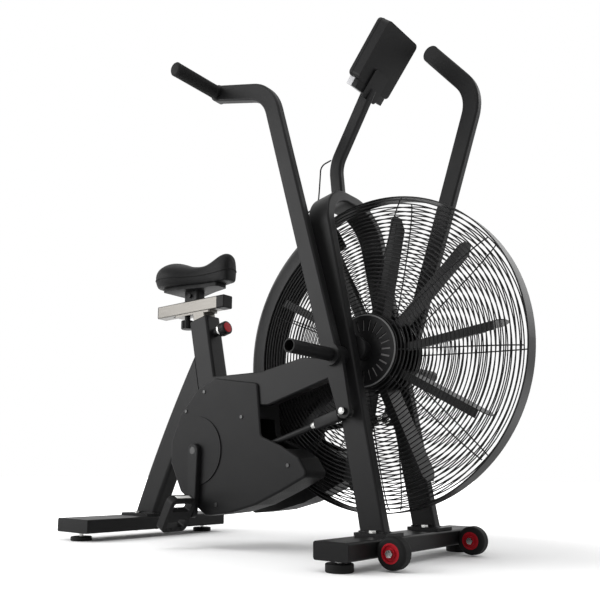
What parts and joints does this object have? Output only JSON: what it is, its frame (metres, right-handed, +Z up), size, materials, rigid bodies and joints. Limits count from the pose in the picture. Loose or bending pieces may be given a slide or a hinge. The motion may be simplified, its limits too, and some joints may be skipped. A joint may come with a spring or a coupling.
{
  "type": "exercise bike",
  "caption": "Upright air exercise bike: a caged fan driven by pedals through a belt, with swinging hand levers, an adjustable saddle and a console on a bent post.",
  "frame": {"origin": "on the floor under the middle of the bike", "axes": "+X forward, the way the rider faces; +Y to the rider's left; +Z up"},
  "size_m": [1.358, 0.676, 1.3938],
  "materials": {
    "frame_paint": "satin black powder coat",
    "cage_paint": "satin black wire coating",
    "black_plastic": "fine moulded grain",
    "red_plastic": "red moulding",
    "screen_glass": "clear lens over a dark display",
    "key_rubber": "matt rubber",
    "bright_steel": "zinc plated",
    "stainless": "brushed along its length",
    "blade_metal": "black coated sheet",
    "saddle_cover": "smooth synthetic leather"
  },
  "bodies": {
    "frame": {"front_floor_bar": "frame_paint", "rear_floor_bar": "frame_paint", "floor_bar_end_caps": "black_plastic", "frame_bolts": "bright_steel", "fork_leg_right": "frame_paint", "fork_leg_left": "frame_paint", "fork_arch": "frame_paint", "rear_leg": "frame_paint", "seat_tube": "frame_paint", "main_beam": "frame_paint", "side_beam_right": "frame_paint", "side_beam_left": "frame_paint", "crank_housing": "frame_paint", "crank_bearings": "bright_steel", "drive_cover_right": "black_plastic", "drive_cover_left": "black_plastic", "drive_cover_backs": "black_plastic", "cover_screws": "bright_steel", "drive_belt": "key_rubber", "fan_axle": "bright_steel", "fan_guard_rim": "cage_paint", "fan_guard_right": "cage_paint", "fan_guard_left": "cage_paint", "hub_covers": "black_plastic", "foot_pegs": "frame_paint", "seat_sleeve": "black_plastic", "console_post": "frame_paint", "console_housing": "black_plastic", "console_screen": "screen_glass", "sensor_cable": "key_rubber"},
    "crank": {"crank_axle": "bright_steel", "crank_arm_right": "frame_paint", "crank_arm_left": "frame_paint", "crank_pulley": "blade_metal"},
    "fan": {"fan_hub": "blade_metal", "fan_blades": "blade_metal"},
    "pedal_right_body": {"pedal_right": "black_plastic"},
    "pedal_left_body": {"pedal_left": "black_plastic"},
    "swing_arm_right": {"arm_right": "frame_paint", "grip_right": "key_rubber"},
    "swing_arm_left": {"arm_left": "frame_paint", "grip_left": "key_rubber"},
    "rod_right": {"connecting_rod_right": "frame_paint"},
    "rod_left": {"connecting_rod_left": "frame_paint"},
    "seat_height": {"seat_post": "stainless"},
    "seat_slide": {"seat_rail": "stainless", "rail_end_caps": "black_plastic", "saddle_clamp": "bright_steel", "saddle_base": "black_plastic", "saddle_pad": "saddle_cover"},
    "pull_pin_body": {"pull_pin": "red_plastic"},
    "clamp_knob_body": {"clamp_knob": "black_plastic"},
    "wheel_right_body": {"wheel_right": "red_plastic"},
    "wheel_left_body": {"wheel_left": "red_plastic"},
    "key_right_body": {"console_key_right": "key_rubber"},
    "key_left_body": {"console_key_left": "key_rubber"},
    "foot_front_right_body": {"foot_front_right": "key_rubber"},
    "foot_front_left_body": {"foot_front_left": "key_rubber"},
    "foot_rear_right_body": {"foot_rear_right": "key_rubber"},
    "foot_rear_left_body": {"foot_rear_left": "key_rubber"}
  },
  "joints": [
    {"name": "crank_turn", "type": "hinge", "parent": "frame", "child": "crank", "pos_m": [-0.23, 0, 0.264], "axis": [0, 1, 0], "continuous": true},
    {"name": "fan_turn", "type": "hinge", "parent": "frame", "child": "fan", "pos_m": [0.276, 0, 0.508], "axis": [0, 1, 0], "continuous": true},
    {"name": "pedal_right_turn", "type": "hinge", "parent": "crank", "child": "pedal_right_body", "pos_m": [-0.23, -0.21, 0.094], "axis": [0, 1, 0], "continuous": true},
    {"name": "pedal_left_turn", "type": "hinge", "parent": "crank", "child": "pedal_left_body", "pos_m": [-0.23, 0.21, 0.434], "axis": [0, 1, 0], "continuous": true},
    {"name": "arm_right_swing", "type": "hinge", "parent": "frame", "child": "swing_arm_right", "pos_m": [0.255, -0.166, 0.486], "axis": [0, 1, 0], "range_deg": [-4, 38]},
    {"name": "arm_left_swing", "type": "hinge", "parent": "frame", "child": "swing_arm_left", "pos_m": [0.255, 0.166, 0.486], "axis": [0, 1, 0], "range_deg": [-38, 4]},
    {"name": "rod_right_swing", "type": "hinge", "parent": "swing_arm_right", "child": "rod_right", "pos_m": [0.28887, -0.15, 0.35016], "axis": [0, 1, 0], "range_deg": [-38, 4]},
    {"name": "rod_left_swing", "type": "hinge", "parent": "swing_arm_left", "child": "rod_left", "pos_m": [0.20827, 0.15, 0.35403], "axis": [0, 1, 0], "range_deg": [-4, 38]},
    {"name": "seat_height_slide", "type": "slide", "parent": "frame", "child": "seat_height", "axis": [-0.213, 0, 0.977], "range_m": [0, 0.125]},
    {"name": "seat_fore_aft", "type": "slide", "parent": "seat_height", "child": "seat_slide", "axis": [1, 0, 0], "range_m": [-0.06, 0.06]},
    {"name": "pull_pin_slide", "type": "slide", "parent": "frame", "child": "pull_pin_body", "axis": [0.977, 0, 0.213], "range_m": [0, 0.01], "stiffness_N_per_m": 1500},
    {"name": "clamp_knob_turn", "type": "hinge", "parent": "seat_height", "child": "clamp_knob_body", "pos_m": [-0.44, 0, 0.68], "axis": [0, 0, 1], "range_deg": [-180, 180]},
    {"name": "wheel_right_turn", "type": "hinge", "parent": "frame", "child": "wheel_right_body", "pos_m": [0.437, -0.192, 0.039], "axis": [0, 1, 0], "continuous": true},
    {"name": "wheel_left_turn", "type": "hinge", "parent": "frame", "child": "wheel_left_body", "pos_m": [0.437, 0.192, 0.039], "axis": [0, 1, 0], "continuous": true},
    {"name": "key_right_press", "type": "slide", "parent": "frame", "child": "key_right_body", "axis": [0.7771, 0, -0.6293], "range_m": [0, 0.0015], "stiffness_N_per_m": 800},
    {"name": "key_left_press", "type": "slide", "parent": "frame", "child": "key_left_body", "axis": [0.7771, 0, -0.6293], "range_m": [0, 0.0015], "stiffness_N_per_m": 800},
    {"name": "foot_front_right_turn", "type": "hinge", "parent": "frame", "child": "foot_front_right_body", "pos_m": [0.353, -0.274, 0.02], "axis": [0, 0, 1], "continuous": true},
    {"name": "foot_front_left_turn", "type": "hinge", "parent": "frame", "child": "foot_front_left_body", "pos_m": [0.353, 0.274, 0.02], "axis": [0, 0, 1], "continuous": true},
    {"name": "foot_rear_right_turn", "type": "hinge", "parent": "frame", "child": "foot_rear_right_body", "pos_m": [-0.606, -0.245, 0.02], "axis": [0, 0, 1], "continuous": true},
    {"name": "foot_rear_left_turn", "type": "hinge", "parent": "frame", "child": "foot_rear_left_body", "pos_m": [-0.606, 0.245, 0.02], "axis": [0, 0, 1], "continuous": true}
  ],
  "couplings": [
    {"joint": "fan_turn", "follows": "crank_turn", "ratio": 4},
    {"joint": "arm_left_swing", "follows": "arm_right_swing", "ratio": -1},
    {"joint": "rod_right_swing", "follows": "arm_right_swing", "ratio": -1},
    {"joint": "rod_left_swing", "follows": "arm_right_swing", "ratio": 1}
  ]
}
